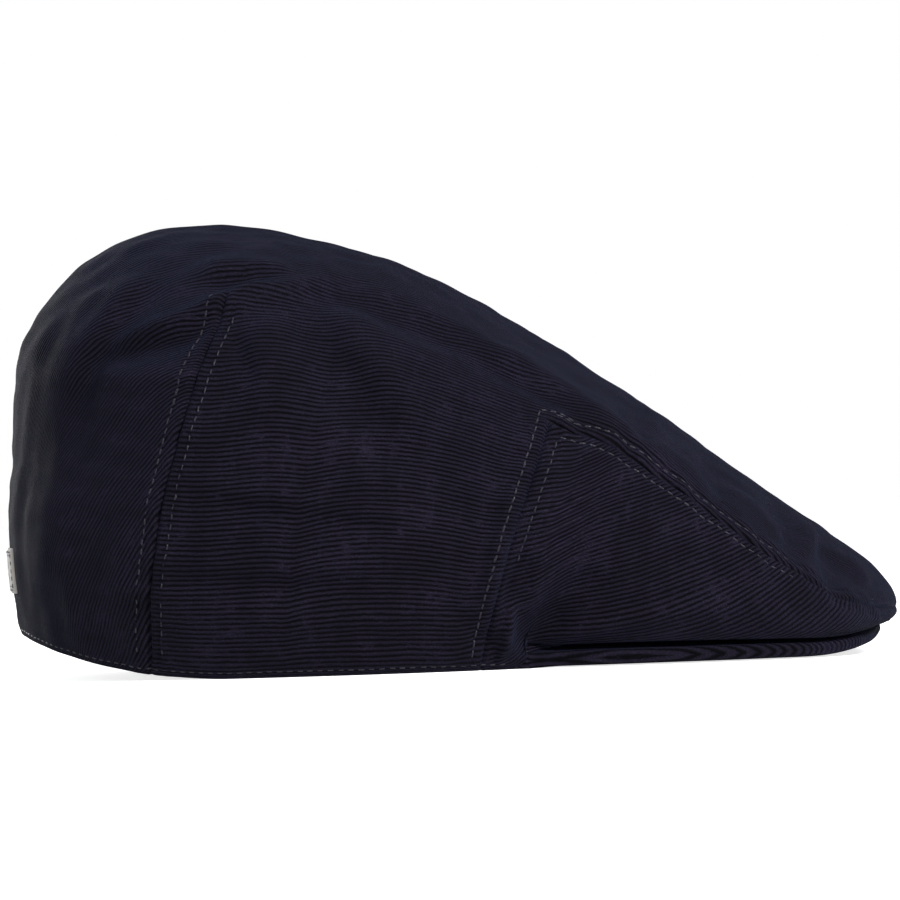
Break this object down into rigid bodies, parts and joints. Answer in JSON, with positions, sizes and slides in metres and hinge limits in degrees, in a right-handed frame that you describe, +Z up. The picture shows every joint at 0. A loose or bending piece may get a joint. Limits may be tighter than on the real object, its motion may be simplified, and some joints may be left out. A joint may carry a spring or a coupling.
{
  "type": "flat cap",
  "caption": "Navy corduroy flat cap with a duckbill-shaped front band sewn down over a stiffened brim, rear darts, lining and sweatband.",
  "frame": {"origin": "centre of the footprint, on the surface the cap rests on, directly under the middle of its bounding box", "axes": "+X towards the front (nose and brim), +Y to the wearer's left, +Z up out of the top of the crown"},
  "size_m": [0.2771, 0.1904, 0.139],
  "materials": {
    "corduroy": "fine cotton corduroy, dark navy, about 16 wales per inch",
    "interlining": "non-woven fusible",
    "brim_board": "flexible plastic sheet",
    "lining": "satin polyester, dark navy",
    "sweatband": "plain-weave cotton, near black",
    "tape": "cotton stay tape",
    "woven_label": "damask-woven, warm grey",
    "care_label": "printed satin tape, left blank",
    "thread": "polyester sewing thread, navy, slightly shiny"
  },
  "bodies": {
    "root": {"crown_panel": "corduroy", "front_band": "corduroy", "front_band_interlining": "interlining", "brim_top_cover": "corduroy", "brim_board": "brim_board", "brim_under_cover": "corduroy", "lining_top": "lining", "lining_side_left": "lining", "lining_side_right": "lining", "sweatband": "sweatband", "rim_tape": "tape", "back_label": "woven_label", "lining_label": "woven_label", "care_label": "care_label", "rear_dart_stitches_left": "thread", "rear_dart_stitches_right": "thread", "front_seam_stitches_left": "thread", "front_seam_stitches_right": "thread", "band_seam_stitches": "thread", "rim_stitches": "thread", "sweatband_stitches": "thread", "back_label_stitches": "thread", "brim_tack_stitches": "thread"}
  },
  "joints": []
}
